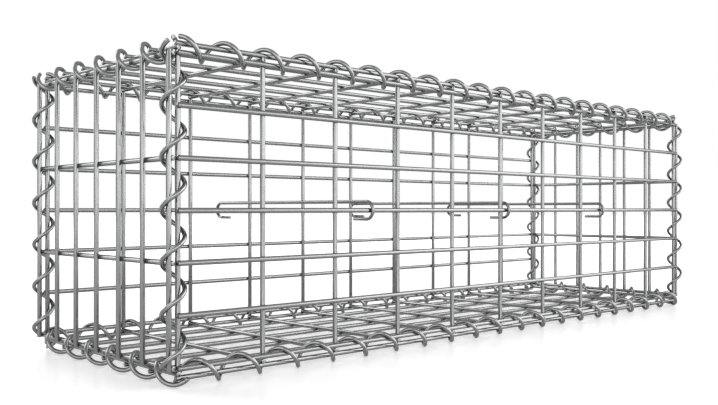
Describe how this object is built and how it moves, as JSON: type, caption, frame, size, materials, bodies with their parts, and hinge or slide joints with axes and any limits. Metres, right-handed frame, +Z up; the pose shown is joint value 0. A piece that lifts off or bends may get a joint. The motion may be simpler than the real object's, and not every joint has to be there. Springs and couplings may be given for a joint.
{
  "type": "gabion basket",
  "caption": "Empty box-shaped gabion basket of welded wire mesh panels, laced along every edge with wire spirals and braced by spacer hooks, lid closed.",
  "frame": {"origin": "centre of the footprint, on the surface that the basket stands on", "axes": "+X along the basket's length, +Z up, front towards -Y"},
  "size_m": [1.0354, 0.3292, 0.3358],
  "materials": {
    "mesh_wire": "bright galvanised",
    "spiral_wire": "bright galvanised",
    "spacer_wire": "bright galvanised"
  },
  "bodies": {
    "root": {"front_panel": "mesh_wire", "back_panel": "mesh_wire", "left_end_panel": "mesh_wire", "right_end_panel": "mesh_wire", "base_panel": "mesh_wire", "lid_panel": "mesh_wire", "lid_front_spiral": "spiral_wire", "lid_back_spiral": "spiral_wire", "lid_left_spiral": "spiral_wire", "lid_right_spiral": "spiral_wire", "base_front_spiral": "spiral_wire", "base_back_spiral": "spiral_wire", "base_left_spiral": "spiral_wire", "base_right_spiral": "spiral_wire", "front_left_spiral": "spiral_wire", "front_right_spiral": "spiral_wire", "back_left_spiral": "spiral_wire", "back_right_spiral": "spiral_wire", "left_spacer": "spacer_wire", "middle_spacer": "spacer_wire", "right_spacer": "spacer_wire"}
  },
  "joints": []
}
